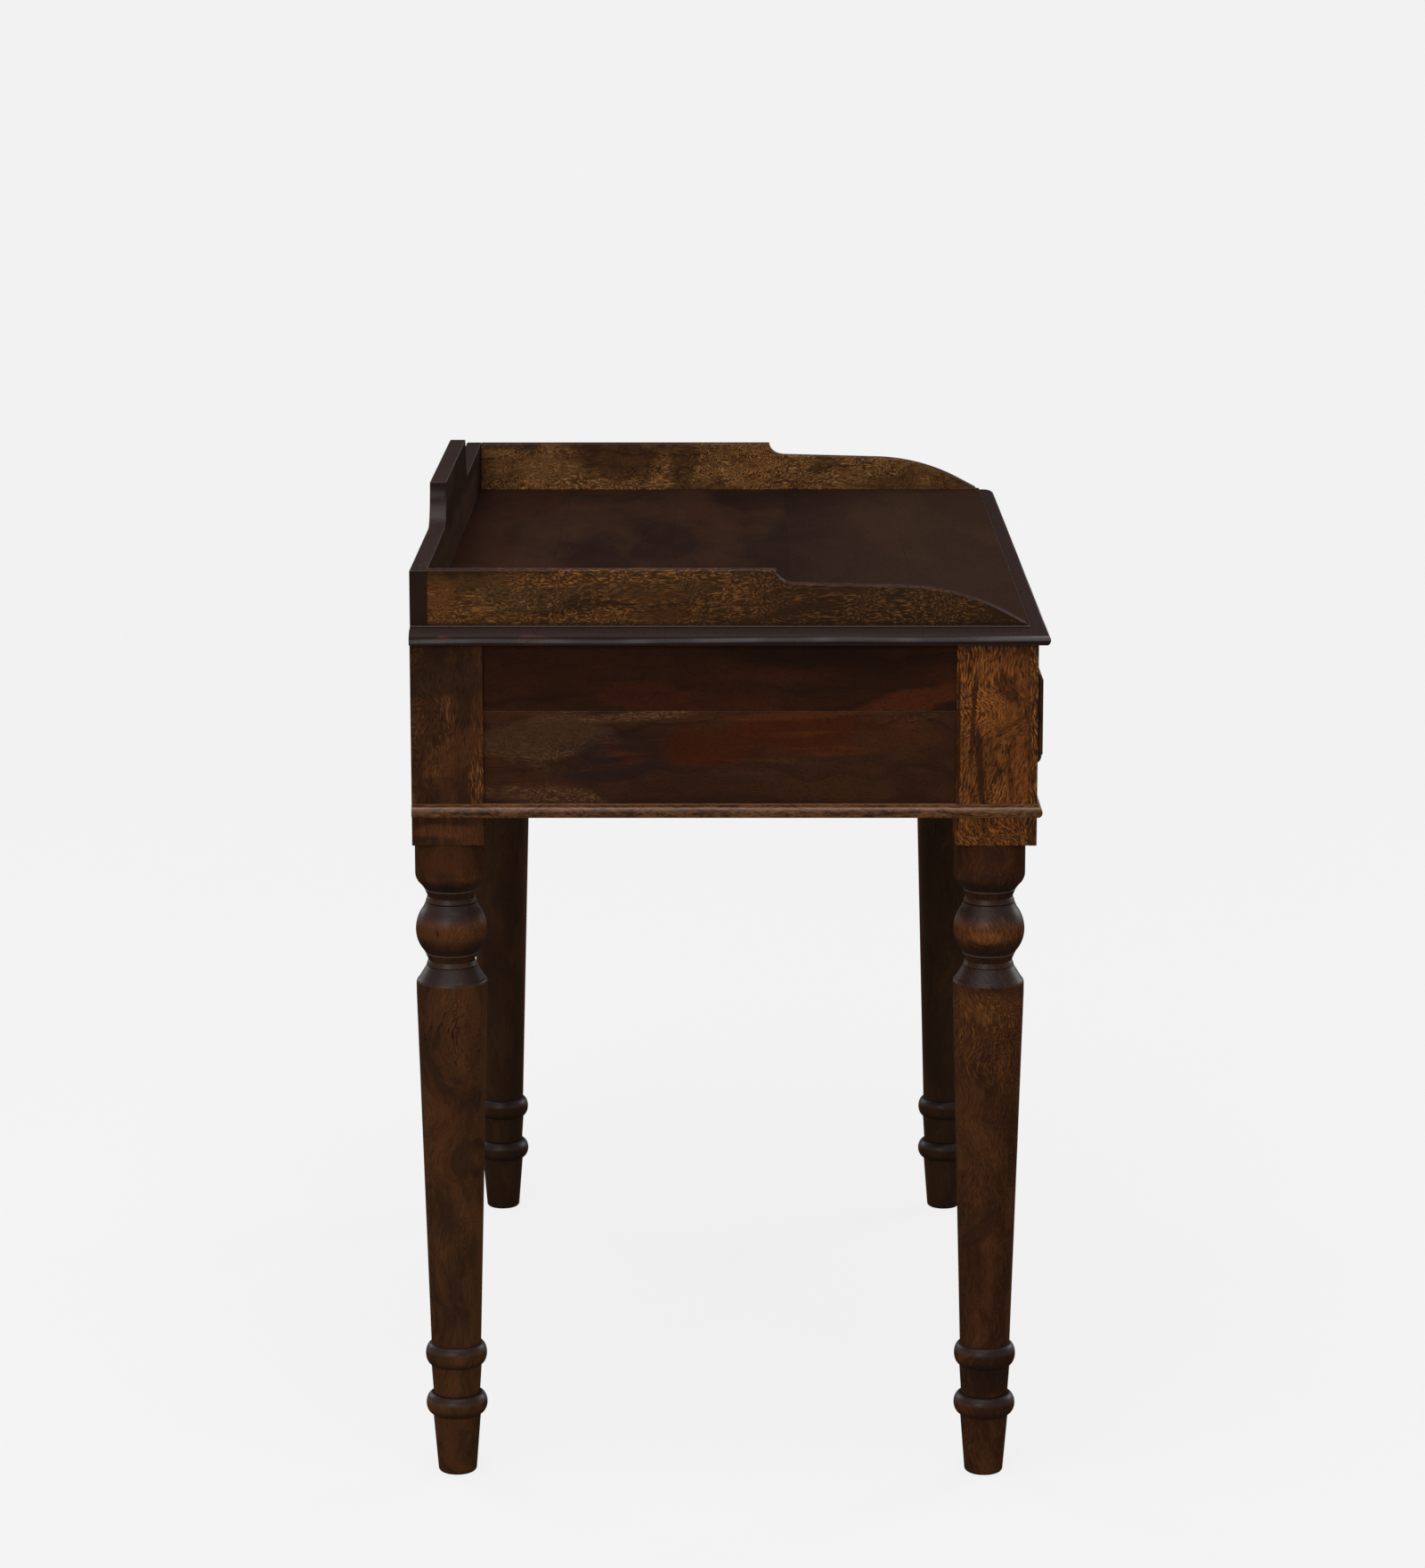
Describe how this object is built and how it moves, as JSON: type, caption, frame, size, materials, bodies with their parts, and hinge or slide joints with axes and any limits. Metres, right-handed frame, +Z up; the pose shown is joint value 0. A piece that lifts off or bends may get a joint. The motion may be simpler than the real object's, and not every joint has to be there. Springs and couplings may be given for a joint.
{
  "type": "writing table",
  "caption": "Writing table with turned legs, a low coved gallery round the back and ends of its moulded top, a bead round the apron, and lipped drawers with ring pulls",
  "frame": {"origin": "on the floor, under the middle of the whole object with its drawers shut", "axes": "+X along the table to the right of a person sitting at it, -Y towards that person, +Z up"},
  "size_m": [0.915, 0.5534, 0.8475],
  "materials": {
    "top_wood": "dark stained sheesham, waxed satin",
    "gallery_wood": "golden brown sheesham with short curly flecks, satin",
    "leg_wood": "brown stained sheesham, turned and waxed",
    "facing_wood": "golden brown sheesham with upright streaks, satin",
    "frame_wood": "dark brown stained sheesham, satin",
    "panel_wood": "dark red-brown sheesham with orange clouding, satin",
    "bead_wood": "mid-brown stained sheesham, satin",
    "drawer_front_wood": "dark brown stained sheesham, satin",
    "inner_wood": "unstained hardwood, planed",
    "drawer_box_wood": "unstained hardwood, sanded",
    "brass": "aged, dull satin",
    "steel": "zinc-plated screws and nuts"
  },
  "bodies": {
    "table": {"tabletop": "top_wood", "gallery_back": "gallery_wood", "gallery_left": "gallery_wood", "gallery_right": "gallery_wood", "leg_front_left": "leg_wood", "leg_front_right": "leg_wood", "leg_back_left": "leg_wood", "leg_back_right": "leg_wood", "facing_left": "facing_wood", "facing_right": "facing_wood", "front_top_rail": "frame_wood", "front_bottom_rail": "frame_wood", "drawer_divider": "frame_wood", "end_upper_board_left": "panel_wood", "end_lower_board_left": "panel_wood", "end_upper_board_right": "panel_wood", "end_lower_board_right": "panel_wood", "back_panel": "panel_wood", "bead_front": "bead_wood", "bead_left": "bead_wood", "bead_right": "bead_wood", "guide_left": "inner_wood", "guide_center": "inner_wood", "guide_right": "inner_wood", "runner_left_outer": "inner_wood", "runner_left_inner": "inner_wood", "runner_right_inner": "inner_wood", "runner_right_outer": "inner_wood", "kicker_left_outer": "inner_wood", "kicker_left_inner": "inner_wood", "kicker_right_inner": "inner_wood", "kicker_right_outer": "inner_wood", "gallery_screws": "steel", "top_screws": "steel", "runner_screws": "steel"},
    "drawer_left": {"drawer_front_left": "drawer_front_wood", "drawer_side_left_outer": "drawer_box_wood", "drawer_side_left_inner": "drawer_box_wood", "drawer_back_left": "drawer_box_wood", "drawer_bottom_left": "drawer_box_wood", "pull_plate_left": "brass", "pull_eye_left": "brass", "pull_nut_left": "steel"},
    "ring_left": {"pull_ring_left": "brass"},
    "drawer_right": {"drawer_front_right": "drawer_front_wood", "drawer_side_right_outer": "drawer_box_wood", "drawer_side_right_inner": "drawer_box_wood", "drawer_back_right": "drawer_box_wood", "drawer_bottom_right": "drawer_box_wood", "pull_plate_right": "brass", "pull_eye_right": "brass", "pull_nut_right": "steel"},
    "ring_right": {"pull_ring_right": "brass"}
  },
  "joints": [
    {"name": "drawer_left_slide", "type": "slide", "parent": "table", "child": "drawer_left", "axis": [0, -1, 0], "range_m": [0, 0.32]},
    {"name": "drawer_right_slide", "type": "slide", "parent": "table", "child": "drawer_right", "axis": [0, -1, 0], "range_m": [0, 0.32]},
    {"name": "ring_left_hinge", "type": "hinge", "parent": "drawer_left", "child": "ring_left", "pos_m": [-0.203, -0.27315, 0.6725], "axis": [-1, 0, 0], "range_deg": [0, 90]},
    {"name": "ring_right_hinge", "type": "hinge", "parent": "drawer_right", "child": "ring_right", "pos_m": [0.203, -0.27315, 0.6725], "axis": [-1, 0, 0], "range_deg": [0, 90]}
  ]
}
